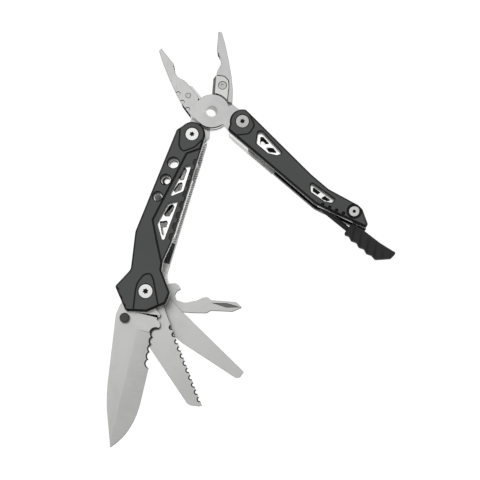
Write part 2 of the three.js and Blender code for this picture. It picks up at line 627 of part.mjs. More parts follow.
const slotsB = [
  [[12.4, 1.4, 0.4], [13.4, 2.4, 0.4], [18.6, 2.2, 0.4], [15.4, -1.9, 0.4]],
  [[18.6, -0.6, 0.4], [21.6, 2, 0.4], [25, 1.6, 0.4], [21.8, -1.3, 0.4]],
  [[e - 25, 2.2, 0.4], [e - 20, 3, 0.4], [e - 20.4, 0.2, 0.4], [e - 22.4, -0.2, 0.4]],
  [[e - 17.6, 1, 0.4], [e - 17, 3.4, 0.4], [e - 13, 4, 0.4], [e - 14.6, 1.6, 0.4]],
];
const islandB = rounded([[-3.4, 6.6], [6.4, 3, 3], [7.6, -2.4, 3], [2.4, -8.9]]);
const scallopsB = Array.from({ length: 4 }, (_, i) => [e - 14.1 + i * 3.65, -1.3 + i * 1.5]);
const headRadiusB = 3.75;
const endHeadRadius = 2.9;
const endCounterbore = 3.9;
const endScrewY = 8;

function scaleB(name, z, outer) {
  const rear = outer < 0;
  const windows = windowsB.map(rounded).flatMap((points) => [plate(points, z), lip(points, z, outer)]);
  const scallops = scallopsB.map(([x, y]) => disc(x, y, 0.9, into(z, outer, 1.2), 12));
  const body = cut(chamferedPlate(outlineB, z, edgeChamfer, outer), ...windows, ...scallops,
    plate(band(islandB, grooveWidth), into(z, outer, grooveDepth)),
    seat(0, 0, z, outer, rear ? rearHeadRadius : headRadiusB),
    seat(e, endScrewY, z, outer, rear ? rearHeadRadius : endCounterbore));
  add(handleB, name, body, 'scale');
}

const backLine = (x) => -8.8 + ((x + 2.2) * 5) / (e - 15); // closed edge of the handle
const stripLength = 30;
const stripB = [
  [-1.4, backLine(-1.4)], [1, backLine(1) - stripReach], [stripLength, backLine(stripLength) - stripReach],
  [stripLength + 1, backLine(stripLength) + 1], [1, backLine(1) + 1],
];

function linerB(name, z, strip) {
  const slots = slotsB.map((slot) => plate(rounded(slot), z));
  const holes = [barrelHole(0, 0, z), barrelHole(e, endScrewY, z)];
  const sheet = plate(outlineB, z);
  add(handleB, name, cut(strip ? sheet.add(plate(strip, z)) : sheet, ...slots, ...holes), 'liner');
}

scaleB('rear_scale_b', rearScaleZ, -1);
linerB('rear_liner_b', rearLinerZ, stripB);
linerB('front_liner_b', frontLinerBZ, null);
scaleB('front_scale_b', frontScaleBZ, 1);
screwAndBarrel(handleB, 'pivot_b', 0, 0, frontScaleBZ[1], headRadiusB, sixLobe(1.45));
screwAndBarrel(handleB, 'end_b', e, endScrewY, frontScaleBZ[1], endHeadRadius, hexagon(1.2));
add(handleB, 'pivot_b_collar', ring(0, 0, collarRadius, [rearLinerZ[1] + shim, rearJawZ[1]]), 'screw');
const spacerZ = [rearLinerZ[1] + shim, frontLinerBZ[0] - shim];
const spacerEnds = [-1.4, 12];
const spacerWidth = 2.2;
const backSpacer = [
  [spacerEnds[0], backLine(spacerEnds[0])], [spacerEnds[1], backLine(spacerEnds[1])],
  [spacerEnds[1], backLine(spacerEnds[1]) + spacerWidth], [2.1, backLine(2.1) + spacerWidth],
];
add(handleB, 'back_spacer', plate(backSpacer, spacerZ), 'liner');

// the fire starter slides into the end of handle B, rod first
const gripTop = [
  [e + 3.2, 3.4, 1], [e + 11, 5.4, 8], [e + 21.1, 6.7, 8], [e + 30.7, 9, 0.8], [e + 30.8, 5, 0.8],
  [e + 25.5, -1.3, 1.5],
];
const gripWave = Array.from({ length: 4 }, (_, i) => [
  [e + 22.6 - i * 5.2, -1 - i * 0.45, 0.9], [e + 20 - i * 5.2, -2.3 - i * 0.45, 0.9],
]).flat();
const gripOutline = rounded([...gripTop, ...gripWave, [e + 3.8, -1, 1]]);
const rodMiddle = (gripZ[0] + gripZ[1]) / 2;
const rodEnd = [e + 3.5 + rodSeat, -0.2 + (rodSeat + 1) * Math.tan(gripSlideAngle * rad)];
const alongRod = (r, length) => solid(new THREE.CylinderGeometry(r, r, length, 20).rotateZ(90 * rad))
  .translate([-length / 2, 0, 0]).rotate([0, 0, gripSlideAngle]).translate([...rodEnd, rodMiddle]);
const grip = chamferedPlate(gripOutline, gripZ, 0.5, 1);
add(handleB, 'striker_grip', cut(grip, alongRod(rodRadius + fitGap, rodLength + 10)), 'grip');
add(handleB, 'fire_rod', alongRod(rodRadius, rodLength).translate([-shim, 0, 0]), 'rod');

// ---- origin: middle of the footprint, on the surface it lies on -----------------------------

const bounds = new THREE.Box3().setFromObject(tool, true);
tool.position.set(-(bounds.min.x + bounds.max.x) / 2, -(bounds.min.y + bounds.max.y) / 2, -bounds.min.z);
tool.updateMatrixWorld(true);

export default tool;
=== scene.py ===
import json
import math
import bmesh
import bpy
from mathutils import Matrix, Vector


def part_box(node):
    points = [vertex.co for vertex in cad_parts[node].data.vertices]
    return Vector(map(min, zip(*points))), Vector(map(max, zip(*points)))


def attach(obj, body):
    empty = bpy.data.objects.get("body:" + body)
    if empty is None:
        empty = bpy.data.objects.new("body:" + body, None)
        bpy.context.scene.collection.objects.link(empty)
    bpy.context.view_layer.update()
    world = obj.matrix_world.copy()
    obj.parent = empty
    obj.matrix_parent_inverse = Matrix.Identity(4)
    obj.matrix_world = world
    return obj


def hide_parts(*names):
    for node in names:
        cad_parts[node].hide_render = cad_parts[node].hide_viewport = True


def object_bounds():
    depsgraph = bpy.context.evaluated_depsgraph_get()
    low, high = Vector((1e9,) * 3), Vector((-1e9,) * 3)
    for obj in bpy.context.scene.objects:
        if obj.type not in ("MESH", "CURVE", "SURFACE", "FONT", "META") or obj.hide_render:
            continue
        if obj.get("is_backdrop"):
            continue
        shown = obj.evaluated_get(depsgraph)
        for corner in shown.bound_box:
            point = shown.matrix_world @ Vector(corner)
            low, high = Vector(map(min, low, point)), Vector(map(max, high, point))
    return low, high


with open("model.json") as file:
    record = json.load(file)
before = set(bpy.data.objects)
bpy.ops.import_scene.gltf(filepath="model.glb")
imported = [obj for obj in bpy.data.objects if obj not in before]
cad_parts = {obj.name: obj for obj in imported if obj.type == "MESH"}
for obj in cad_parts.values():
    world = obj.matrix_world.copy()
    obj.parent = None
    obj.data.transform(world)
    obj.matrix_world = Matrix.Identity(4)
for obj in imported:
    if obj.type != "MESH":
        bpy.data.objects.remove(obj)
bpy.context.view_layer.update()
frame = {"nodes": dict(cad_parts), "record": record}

mm = 0.001
nodes = frame["nodes"]
bodyOfNode = {n: b for b, members in frame["record"]["behaviour"]["bodies"].items() for n in members}


def middleOf(node):
    low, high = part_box(node)
    return (low + high) / 2


def headingOf(a, b):
    return math.atan2(b.y - a.y, b.x - a.x)


pivotA = middleOf("pivot_a_screw")
pivotTools = middleOf("tool_pivot_screw")
pivotB = middleOf("pivot_b_screw")
hubCentre = middleOf("pivot_bush")
headingA = headingOf(pivotA, pivotTools)
headingB = math.radians(313.7)
headings = {
    "rear_jaw": math.radians(85.9), "front_jaw": math.radians(127.4), "knife_blade": math.radians(257.2),
    "saw_blade": math.radians(293.4), "file_driver": math.radians(318.5), "opener_driver": math.radians(350.5),
}


def newGroup(name, inputs, outputs):
    tree = bpy.data.node_groups.new(name, "ShaderNodeTree")
    for label, kind, value in inputs:
        socket = tree.interface.new_socket(name=label, in_out="INPUT", socket_type=kind)
        if value is not None:
            socket.default_value = value
    for label, kind in outputs:
        tree.interface.new_socket(name=label, in_out="OUTPUT", socket_type=kind)
    return tree, tree.nodes.new("NodeGroupInput"), tree.nodes.new("NodeGroupOutput")


def addNode(tree, kind, settings=None, inputs=None):
    made = tree.nodes.new(kind)
    for key, value in (settings or {}).items():
        setattr(made, key, value)
    for key, value in (inputs or {}).items():
        if isinstance(value, bpy.types.NodeSocket):
            tree.links.new(value, made.inputs[key])
        else:
            made.inputs[key].default_value = value
    return made


def mathNode(tree, operation, a, b=None, clamp=False):
    made = addNode(tree, "ShaderNodeMath", {"operation": operation, "use_clamp": clamp}, {0: a})
    if b is not None:
        if isinstance(b, bpy.types.NodeSocket):
            tree.links.new(b, made.inputs[1])
        else:
            made.inputs[1].default_value = b
    return made.outputs[0]


def vectorMath(tree, operation, a, b):
    return addNode(tree, "ShaderNodeVectorMath", {"operation": operation}, {0: a, 1: b}).outputs[0]


# fine lines left by brushing or grinding, running along local X
def makeBrushing():
    tree, start, end = newGroup("brushing", [
        ("Vector", "NodeSocketVector", None), ("Density", "NodeSocketFloat", 9000.0),
        ("Stretch", "NodeSocketFloat", 0.02), ("Contrast", "NodeSocketFloat", 1.0),
    ], [("Height", "NodeSocketFloat"), ("Tone", "NodeSocketFloat")])
    scale = addNode(tree, "ShaderNodeCombineXYZ", None, {0: start.outputs["Stretch"], 1: 1.0, 2: 1.0}).outputs[0]
    along = vectorMath(tree, "MULTIPLY", start.outputs["Vector"], scale)
    fine = addNode(tree, "ShaderNodeTexNoise", None, {
        "Vector": along, "Scale": start.outputs["Density"], "Detail": 3.0, "Roughness": 0.6}).outputs["Fac"]
    coarseScale = mathNode(tree, "MULTIPLY", start.outputs["Density"], 0.16)
    coarse = addNode(tree, "ShaderNodeTexNoise", None, {
        "Vector": along, "Scale": coarseScale, "Detail": 2.0, "Roughness": 0.5}).outputs["Fac"]
    mixed = mathNode(tree, "ADD", mathNode(tree, "MULTIPLY", fine, 0.6), mathNode(tree, "MULTIPLY", coarse, 0.4))
    centred = mathNode(tree, "SUBTRACT", mixed, 0.5)
    tone = mathNode(tree, "ADD", mathNode(tree, "MULTIPLY", centred, start.outputs["Contrast"]), 0.5, clamp=True)
    tree.links.new(mixed, end.inputs["Height"])
    tree.links.new(tone, end.inputs["Tone"])
    return tree


# even speckle of a blasted, painted or moulded skin
def makeGrain():
    tree, start, end = newGroup("grain", [
        ("Vector", "NodeSocketVector", None), ("Size", "NodeSocketFloat", 4000.0),
        ("Contrast", "NodeSocketFloat", 1.0),
    ], [("Height", "NodeSocketFloat"), ("Tone", "NodeSocketFloat")])
    fine = addNode(tree, "ShaderNodeTexNoise", None, {
        "Vector": start.outputs["Vector"], "Scale": start.outputs["Size"], "Detail": 4.0, "Roughness": 0.65,
    }).outputs["Fac"]
    cells = addNode(tree, "ShaderNodeTexVoronoi", None, {
        "Vector": start.outputs["Vector"], "Scale": start.outputs["Size"]}).outputs["Distance"]
    height = mathNode(tree, "ADD", mathNode(tree, "MULTIPLY", fine, 0.7), mathNode(tree, "MULTIPLY", cells, 0.3))
    centred = mathNode(tree, "SUBTRACT", fine, 0.5)
    tone = mathNode(tree, "ADD", mathNode(tree, "MULTIPLY", centred, start.outputs["Contrast"]), 0.5, clamp=True)
    tree.links.new(height, end.inputs["Height"])
    tree.links.new(tone, end.inputs["Tone"])
    return tree


# broad cloudy marks from handling
def makeHandling():
    tree, start, end = newGroup("handling", [
        ("Vector", "NodeSocketVector", None), ("Size", "NodeSocketFloat", 60.0),
        ("Amount", "NodeSocketFloat", 0.2),
    ], [("Mask", "NodeSocketFloat")])
    cloud = addNode(tree, "ShaderNodeTexNoise", None, {
        "Vector": start.outputs["Vector"], "Scale": start.outputs["Size"], "Detail": 5.0, "Roughness": 0.55,
        "Distortion": 0.6}).outputs["Fac"]
    shaped = addNode(tree, "ShaderNodeMapRange", {"interpolation_type": "SMOOTHSTEP"}, {
        "Value": cloud, "From Min": 0.38, "From Max": 0.68}).outputs["Result"]
    tree.links.new(mathNode(tree, "MULTIPLY", shaped, start.outputs["Amount"]), end.inputs["Mask"])
    return tree


groups = {"brushing": makeBrushing(), "grain": makeGrain(), "handling": makeHandling()}


def place(tree, group, vector, **values):
    made = tree.nodes.new("ShaderNodeGroup")
    made.node_tree = groups[group]
    tree.links.new(vector, made.inputs["Vector"])
    for key, value in values.items():
        made.inputs[key[0].upper() + key[1:]].default_value = value
    return made


def mixColours(tree, fac, a, b):
    made = addNode(tree, "ShaderNodeMix", {"data_type": "RGBA"})
    tree.links.new(fac, made.inputs[0])
    for socket, value in ((6, a), (7, b)):
        if isinstance(value, bpy.types.NodeSocket):
            tree.links.new(value, made.inputs[socket])
        else:
            made.inputs[socket].default_value = (*value, 1)
    return made.outputs[2]


def startMaterial(name, roughness, metallic, edgeTint=1.0):
    material = bpy.data.materials.new(name)
    material.use_nodes = True
    tree = material.node_tree
    shader = tree.nodes["Principled BSDF"]
    shader.inputs["Roughness"].default_value = roughness
    shader.inputs["Metallic"].default_value = metallic
    shader.inputs["Specular Tint"].default_value = (edgeTint, edgeTint, edgeTint, 1)
    return material, tree, shader


# object coordinates turned so that local X runs along a piece, with its origin at a pivot
def localVector(tree, heading=0.0, origin=(0, 0, 0)):
    coords = tree.nodes.new("ShaderNodeTexCoord").outputs["Object"]
    moved = addNode(tree, "ShaderNodeMapping", {"vector_type": "POINT"}, {
        "Vector": coords, "Location": tuple(-v for v in origin)}).outputs[0]
    return addNode(tree, "ShaderNodeMapping", {"vector_type": "POINT"}, {
        "Vector": moved, "Rotation": (0, 0, -heading)}).outputs[0]


bumpDepth = {"lines": 0.02 * mm, "blast": 0.02 * mm, "paint": 0.03 * mm}
maskSoftness = 0.2 * mm


def finishSurface(tree, shader, height, distance, strength, colour, rough, roughSpread, roughMask):
    bump = addNode(tree, "ShaderNodeBump", None, {"Strength": strength, "Distance": distance, "Height": height})
    tree.links.new(bump.outputs[0], shader.inputs["Normal"])
    tree.links.new(colour, shader.inputs["Base Color"])
    spread = addNode(tree, "ShaderNodeMapRange", None, {
        "Value": roughMask, "To Min": rough - roughSpread, "To Max": rough + roughSpread}).outputs["Result"]
    tree.links.new(spread, shader.inputs["Roughness"])


def brushedSteel(name, light, dark, rough, heading=0.0, density=9000.0, stretch=0.02, contrast=1.6,
                 strength=0.12):
    material, tree, shader = startMaterial(name, rough, 1.0)
    vector = localVector(tree, heading)
    lines = place(tree, "brushing", vector, density=density, stretch=stretch, contrast=contrast)
    marks = place(tree, "handling", vector, size=70.0, amount=0.35)
    base = mixColours(tree, lines.outputs["Tone"], dark, light)
    colour = mixColours(tree, marks.outputs["Mask"], base, tuple(0.88 * v for v in dark))
    finishSurface(tree, shader, lines.outputs["Height"], bumpDepth["lines"], strength, colour, rough, 0.06,
                  lines.outputs["Tone"])
    return material


# a bright steel plate with painted shadow laid in masks along and across the handle, and painted shade in the grooves
# between ridges
def linerPlate(name, heading, origin, tint, rough, shades, ridges=None):
    material, tree, shader = startMaterial(name, rough, 1.0)
    vector = localVector(tree, heading, origin)
    lines = place(tree, "brushing", vector, density=9000.0, stretch=0.02, contrast=1.6)
    parts = addNode(tree, "ShaderNodeSeparateXYZ", None, {0: vector}).outputs
    colour = mixColours(tree, lines.outputs["Tone"], tuple(0.8 * v for v in tint), tint)
    for (left, right, low, high), shade in shades:
        inside = 1.0
        for part, least, most in ((parts[0], left, right), (parts[1], low, high)):
            rise = addNode(tree, "ShaderNodeMapRange", {"interpolation_type": "SMOOTHSTEP"}, {
                "Value": part, "From Min": least, "From Max": least + maskSoftness}).outputs["Result"]
            fall = addNode(tree, "ShaderNodeMapRange", {"interpolation_type": "SMOOTHSTEP"}, {
                "Value": part, "From Min": most, "From Max": most + maskSoftness, "To Min": 1.0, "To Max": 0.0,
            }).outputs["Result"]
            inside = mathNode(tree, "MULTIPLY", mathNode(tree, "MULTIPLY", rise, fall), inside)
        colour = mixColours(tree, inside, colour, shade)
    if ridges:
        wave = mathNode(tree, "SINE", mathNode(tree, "MULTIPLY", parts[0], 2 * math.pi / ridges["pitch"]))
        ridgeGrooveShade = addNode(tree, "ShaderNodeMapRange", None, {
            "Value": wave, "From Min": -0.4, "From Max": 0.6}).outputs["Result"]
        inStrip = mathNode(tree, "MULTIPLY", mathNode(tree, "GREATER_THAN", parts[1], ridges["from"]),
                           mathNode(tree, "LESS_THAN", parts[0], ridges["to"]))
        colour = mixColours(tree, mathNode(tree, "MULTIPLY", ridgeGrooveShade, inStrip), colour, ridges["shade"])
    finishSurface(tree, shader, lines.outputs["Height"], bumpDepth["lines"], 0.1, colour, rough, 0.06,
                  lines.outputs["Tone"])
    return material


def blastedSteel(name, light, dark, rough, size=5200.0, strength=0.16, edgeTint=1.0):
    material, tree, shader = startMaterial(name, rough, 1.0, edgeTint)
    vector = localVector(tree)
    speck = place(tree, "grain", vector, size=size, contrast=1.5)
    marks = place(tree, "handling", vector, size=90.0, amount=0.3)
    base = mixColours(tree, speck.outputs["Tone"], dark, light)
    colour = mixColours(tree, marks.outputs["Mask"], base, tuple(0.9 * v for v in dark))
    finishSurface(tree, shader, speck.outputs["Height"], bumpDepth["blast"], strength, colour, rough, 0.05,
                  marks.outputs["Mask"])
    return material


def paintedSkin(name, light, dark, rough, size=3600.0, strength=0.25, specular=0.5, waves=None):
    material, tree, shader = startMaterial(name, rough, 0.0)
    shader.inputs["Specular IOR Level"].default_value = specular
    vector = localVector(tree)
    speck = place(tree, "grain", vector, size=size, contrast=1.3)
    marks = place(tree, "handling", vector, size=45.0, amount=0.5)
    base = mixColours(tree, speck.outputs["Tone"], dark, light)
    colour = mixColours(tree, marks.outputs["Mask"], base, dark)
    if waves:
        # painted shade standing in for shallow moulded flutes, fading out across the piece
        parts = addNode(tree, "ShaderNodeSeparateXYZ", None, {
            0: localVector(tree, waves["heading"], waves["origin"])}).outputs
        slanted = mathNode(tree, "ADD", parts[0], mathNode(tree, "MULTIPLY", parts[1], waves["slant"]))
        turn = mathNode(tree, "SINE", mathNode(tree, "MULTIPLY", slanted, 2 * math.pi / waves["pitch"]))
        fade = addNode(tree, "ShaderNodeMapRange", None, {
            "Value": parts[1], "From Min": waves["full"], "From Max": waves["none"], "To Min": 1.0, "To Max": 0.0,
        }).outputs["Result"]
        gripFluteShade = mathNode(tree, "MULTIPLY", mathNode(tree, "MULTIPLY", turn, fade), waves["depth"], clamp=True)
        colour = mixColours(tree, gripFluteShade, colour, tuple(0.3 * v for v in dark))
    finishSurface(tree, shader, speck.outputs["Height"], bumpDepth["paint"], strength, colour, rough, 0.05,
                  speck.outputs["Tone"])
    return material


print("materials")
finishes = {
    "scaleTop": paintedSkin("charcoalPaint", (0.050, 0.053, 0.052), (0.032, 0.034, 0.0335), 0.46),
    # scale walls, chamfers and grooves get a black painted shade; notch floors get a darker painted shade
    "scaleEdgeShade": paintedSkin("charcoalPaintEdgeShade", (0.005, 0.005, 0.005), (0.003, 0.003, 0.003), 0.38, specular=0.18),
    "scaleShade": paintedSkin("charcoalPaintShade", (0.018, 0.019, 0.0185), (0.011, 0.012, 0.0115), 0.42,
                              specular=0.3),
    "liner": brushedSteel("linerSteel", (0.86, 0.86, 0.85), (0.70, 0.70, 0.69), 0.24, headingA, contrast=1.8),
    "linerEdge": brushedSteel("linerSteelEdge", (0.90, 0.90, 0.89), (0.74, 0.74, 0.73), 0.38, headingA),
    "jaw": blastedSteel("jawSteel", (0.425, 0.425, 0.423), (0.375, 0.375, 0.373), 0.34),
    "jawBevel": brushedSteel("jawSteelBevel", (0.34, 0.34, 0.337), (0.17, 0.17, 0.168), 0.38, headings["rear_jaw"],
                             stretch=1.6, density=1600.0, contrast=3.2),
    # dark painted shade for jaw walls in teeth, gaps and the insert seat
    "jawWallShade": blastedSteel("jawSteelWallShade", (0.055, 0.055, 0.054), (0.03, 0.03, 0.03), 0.42, edgeTint=0.1),
    "jawSide": blastedSteel("jawSteelSide", (0.72, 0.72, 0.715), (0.62, 0.62, 0.615), 0.36),
    "bore": blastedSteel("boreSteel", (0.42, 0.42, 0.418), (0.35, 0.35, 0.348), 0.42),
    "bladeWallShade": blastedSteel("bladeSteelWallShade", (0.10, 0.10, 0.099), (0.055, 0.055, 0.054), 0.40, edgeTint=0.25),
    "driverFluteShade": blastedSteel("driverFluteSteelShade", (0.17, 0.17, 0.168), (0.09, 0.09, 0.088), 0.45, edgeTint=0.4),
    "cutter": brushedSteel("cutterSteel", (0.50, 0.50, 0.49), (0.42, 0.42, 0.415), 0.30, headings["rear_jaw"]),
    # rear liner A: painted shadow around the holes and at 57 to 68.5 mm along the handle, painted shade in the ridge
    # grooves
    "linerRearShaded": linerPlate("rearLinerSteelShaded", headingA, pivotA, (0.86, 0.86, 0.85), 0.3,
                            [((8 * mm, 31.2 * mm, -14 * mm, -4.2 * mm), (0.02, 0.02, 0.02)),
                             ((31 * mm, 44 * mm, -14 * mm, -4.6 * mm), (0.10, 0.10, 0.10)),
                             ((57 * mm, 68.5 * mm, 1.5 * mm, 20 * mm), (0.08, 0.08, 0.08))],
                            {"pitch": 1.3 * mm, "from": 5.0 * mm, "to": 56.5 * mm, "shade": (0.30, 0.30, 0.30)}),
    # rear liner B: near-black painted shadow over most of the plate, seen through the slots
    "linerRearBShaded": linerPlate("rearLinerSteelBShaded", headingB, pivotB, (0.78, 0.78, 0.77), 0.3,
                             [((30.4 * mm, 100 * mm, -20 * mm, 20 * mm), (0.016, 0.016, 0.016)),
                              ((8 * mm, 100 * mm, -5.0 * mm, 20 * mm), (0.016, 0.016, 0.016))]),
    # near-black painted shadow for the walls and steps inside the liner slots
    "linerSlotShade": brushedSteel("linerSteelSlotShade", (0.030, 0.030, 0.030), (0.014, 0.014, 0.014), 0.40, headingA),
    "screw": brushedSteel("screwSteel", (0.60, 0.60, 0.592), (0.50, 0.50, 0.493), 0.26, stretch=0.6, density=5000.0),
    "screwDull": brushedSteel("screwSteelDull", (0.44, 0.44, 0.43), (0.34, 0.34, 0.335), 0.34, stretch=0.6,
                              density=4200.0, contrast=2.2),
    "socket": blastedSteel("socketSteelShade", (0.03, 0.03, 0.03), (0.012, 0.012, 0.012), 0.6),
    "stud": paintedSkin("studBlack", (0.026, 0.027, 0.028), (0.014, 0.015, 0.016), 0.36, size=2600.0),
    "grip": paintedSkin("gripMoulding", (0.021, 0.021, 0.0215), (0.011, 0.011, 0.0115), 0.66, size=1900.0,
                        strength=0.4, specular=0.35, waves={
                            "heading": headingB, "origin": pivotB, "slant": 0.7, "pitch": 5.2 * mm,
                            "full": 0.0, "none": 7.0 * mm, "depth": 1.2}),
    "rod": blastedSteel("rodDark", (0.045, 0.045, 0.047), (0.02, 0.02, 0.022), 0.5),
}


merging = {"distance": 0.002 * mm, "flatDegrees": 0.4}


def mergedCopy(node):
    shape = bmesh.new()
    shape.from_mesh(nodes[node].data)
    bmesh.ops.remove_doubles(shape, verts=shape.verts, dist=merging["distance"])
    bmesh.ops.dissolve_limit(shape, angle_limit=math.radians(merging["flatDegrees"]), verts=shape.verts,
                             edges=shape.edges)
    shape.normal_update()
    return shape


def sharpEdges(shape, least=40, test=None):
    found = [e for e in shape.edges if e.is_manifold and e.calc_face_angle(0) > math.radians(least)]
    return [e for e in found if test is None or test(e)]


def bevelEdges(shape, edges, width, segments=2, material=-1):
    return bmesh.ops.bevel(shape, geom=edges, offset=width, offset_type="OFFSET", segments=segments,
                           profile=0.5, affect="EDGES", clamp_overlap=False, material=material)


def finishPiece(shape, name, node, materialNames, smoothAngle=50):
    mesh = bpy.data.meshes.new(name)
    for face in shape.faces:
        face.smooth = True
    shape.to_mesh(mesh)
    shape.free()
    for label in materialNames:
        mesh.materials.append(finishes[label])
    mesh.set_sharp_from_angle(angle=math.radians(smoothAngle))
    piece = bpy.data.objects.new(name, mesh)
    bpy.context.scene.collection.objects.link(piece)
    weighted = piece.modifiers.new("weighted", "WEIGHTED_NORMAL")
    weighted.keep_sharp = True
    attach(piece, bodyOfNode[node])
    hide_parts(node)
    return piece


def isFlat(face):
    return abs(face.normal.z) > 0.99


scaleLook = {"edge": 0.1 * mm, "skins": (0.0, 0.5 * mm), "notch": 0.9 * mm, "nearOuter": 1.2 * mm,
             "level": 0.04 * mm, "flat": 0.97}


def makeScale(node, name, up):
    shape = mergedCopy(node)
    low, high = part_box(node)
    outer = high.z if up > 0 else low.z

    def onOuter(edge):
        return any(isFlat(f) and abs(f.calc_center_median().z - outer) < scaleLook["nearOuter"]
                   for f in edge.link_faces)
    bevelEdges(shape, sharpEdges(shape, test=onOuter), scaleLook["edge"], 1)
    # the skin is charcoal; notch floors get a darker painted shade, and walls, chamfers and grooves are painted black
    # as shade
    for face in shape.faces:
        depth = abs(face.calc_center_median().z - outer)
        outward = face.normal.z * up > scaleLook["flat"]
        skin = outward and min(abs(depth - level) for level in scaleLook["skins"]) < scaleLook["level"]
        notch = outward and abs(depth - scaleLook["notch"]) < scaleLook["level"]
        face.material_index = 0 if skin else (2 if notch else 1)
    return finishPiece(shape, name, node, ["scaleTop", "scaleEdgeShade", "scaleShade"])


print("handle scales")
for node, name, up in (("front_scale_a", "frontScaleA", 1), ("rear_scale_a", "rearScaleA", -1),
                       ("front_scale_b", "frontScaleB", 1), ("rear_scale_b", "rearScaleB", -1)):
    makeScale(node, name, up)


def makePlain(node, name, flat, wall, width=0.08 * mm, segments=2, least=40):
    shape = mergedCopy(node)
    bevelEdges(shape, sharpEdges(shape, least), width, segments)
    for face in shape.faces:
        face.material_index = 0 if isFlat(face) else 1
    return finishPiece(shape, name, node, [flat, wall])


print("liners and spacers")


def alongHandle(point, pivot, heading):
    step = point.xy - pivot.xy
    return step.x * math.cos(heading) + step.y * math.sin(heading)


linerLook = {"edge": 0.08 * mm, "sharpDegrees": 60, "slotAcross": (-4.5 * mm, 3.6 * mm),
             "slotAlong": (12 * mm, 66 * mm), "step": 0.1 * mm, "wall": 0.95}


# walls and steps inside the slots get a dark painted shadow
def makeLiner(node, name, pivot, heading, flat, wall="linerEdge"):
    shape = mergedCopy(node)
    low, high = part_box(node)

    def across(point):
        step = point.xy - pivot.xy
        return step.y * math.cos(heading) - step.x * math.sin(heading)

    def inSlot(edge):
        middle = (edge.verts[0].co + edge.verts[1].co) / 2
        least, most = linerLook["slotAlong"]
        near, far = linerLook["slotAcross"]
        return near < across(middle) < far and least < alongHandle(middle, pivot, heading) < most
    bevelEdges(shape, sharpEdges(shape, linerLook["sharpDegrees"]), linerLook["edge"], 1)
    for face in shape.faces:
        stepped = isFlat(face) and (
            low.z + linerLook["step"] < face.calc_center_median().z < high.z - linerLook["step"])
        slotWall = inSlot(face.edges[0]) and abs(face.normal.z) < linerLook["wall"]
        face.material_index = 2 if slotWall or stepped else (0 if isFlat(face) else 1)
    return finishPiece(shape, name, node, [flat, wall, "linerSlotShade"])


makeLiner("front_liner_a", "frontLinerA", pivotA, headingA, "liner")
makeLiner("rear_liner_a", "rearLinerA", pivotA, headingA, "linerRearShaded")
makeLiner("front_liner_b", "frontLinerB", pivotB, headingB, "liner")
makeLiner("rear_liner_b", "rearLinerB", pivotB, headingB, "linerRearBShaded", "linerRearBShaded")
for node, name in (("lock_leaf", "lockLeaf"), ("stop_bar", "stopBar"), ("tool_spacer", "toolSpacer"),
                   ("back_spacer", "backSpacer")):
    makePlain(node, name, "liner", "linerEdge")

print("pliers")


jawLook = {"edge": 0.13 * mm, "hubEdge": 0.5 * mm, "hub": (9.3 * mm, 9.9 * mm), "gap": (9.95 * mm, 10.3 * mm),
           "tooth": 0.62 * mm, "teethFrom": 18 * mm, "aroundInsert": 0.75 * mm, "bore": 4.6 * mm,
           "flat": 0.95, "slope": (0.3, 0.9), "slopeArea": 3 * mm * mm}


# outer walls are plain steel; teeth, gaps, the seat of the insert and small edge bevels get a dark painted shade
def makeJaw(node, name):
    shape = mergedCopy(node)
    seatLow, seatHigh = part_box(node + "_cutter")

    def fromHub(point):
        return (point.xy - hubCentre.xy).length

    def onHub(point):
        return jawLook["hub"][0] < fromHub(point) < jawLook["hub"][1] and point.y < hubCentre.y

    def inSeat(point):
        spare = jawLook["aroundInsert"]
        return all(seatLow[i] - spare < point[i] < seatHigh[i] + spare for i in range(2))
    awayFromBore = [e for e in sharpEdges(shape) if min(fromHub(v.co) for v in e.verts) > jawLook["bore"]]
    hubEdges = [e for e in awayFromBore if all(onHub(v.co) for v in e.verts)]
    bevelEdges(shape, [e for e in awayFromBore if e not in hubEdges], jawLook["edge"], 1)
    bevelEdges(shape, [e for e in hubEdges if e.is_valid], jawLook["hubEdge"], 1)
    shallow, steepest = jawLook["slope"]
    for face in shape.faces:
        steep = abs(face.normal.z)
        middle = face.calc_center_median()
        flatRun = max((a.co.xy - b.co.xy).length for a in face.verts for b in face.verts)
        if steep > jawLook["flat"]:
            face.material_index = 0
        elif shallow < steep < steepest and face.calc_area() > jawLook["slopeArea"]:
            face.material_index = 3
        elif steep < shallow:
            inGap = jawLook["gap"][0] < fromHub(middle) < jawLook["gap"][1]
            inTeeth = flatRun < jawLook["tooth"] and fromHub(middle) > jawLook["teethFrom"]
            dark = inGap or inSeat(middle) or inTeeth
            face.material_index = 1 if dark else 2
        else:
            face.material_index = 1
    return finishPiece(shape, name, node, ["jaw", "jawWallShade", "jawSide", "jawBevel"])


for node, name in (("rear_jaw", "rearJaw"), ("front_jaw", "frontJaw")):
    makeJaw(node, name)


bushLook = {"bore": 3.6 * mm, "seat": 0.1 * mm, "lean": -1.3 * mm, "flat": 0.95}


# the bush is widened to hide its ring; its bore leans so that its right wall shows
def makeBush():
    shape = mergedCopy("pivot_bush")
    low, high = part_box("pivot_bush")
    for vert in shape.verts:
        radius = (vert.co.xy - hubCentre.xy).length
        if radius > bushLook["bore"]:
            vert.co.xy = hubCentre.xy + (vert.co.xy - hubCentre.xy) * (1 + bushLook["seat"] / radius)
        elif vert.co.z < (low.z + high.z) / 2:
            vert.co.x += bushLook["lean"]
    shape.normal_update()
    for face in shape.faces:
        face.material_index = 0 if abs(face.normal.z) > bushLook["flat"] else 1
    return finishPiece(shape, "pivotBush", "pivot_bush", ["jaw", "bore"])


makeBush()
for node, name in (("rear_jaw_cutter", "rearCutter"), ("front_jaw_cutter", "frontCutter")):
    makePlain(node, name, "cutter", "cutter")
for node, name in (("rear_jaw_cutter_screw", "rearCutterScrew"), ("front_jaw_cutter_screw", "frontCutterScrew")):
    makePlain(node, name, "screwDull", "screwDull")

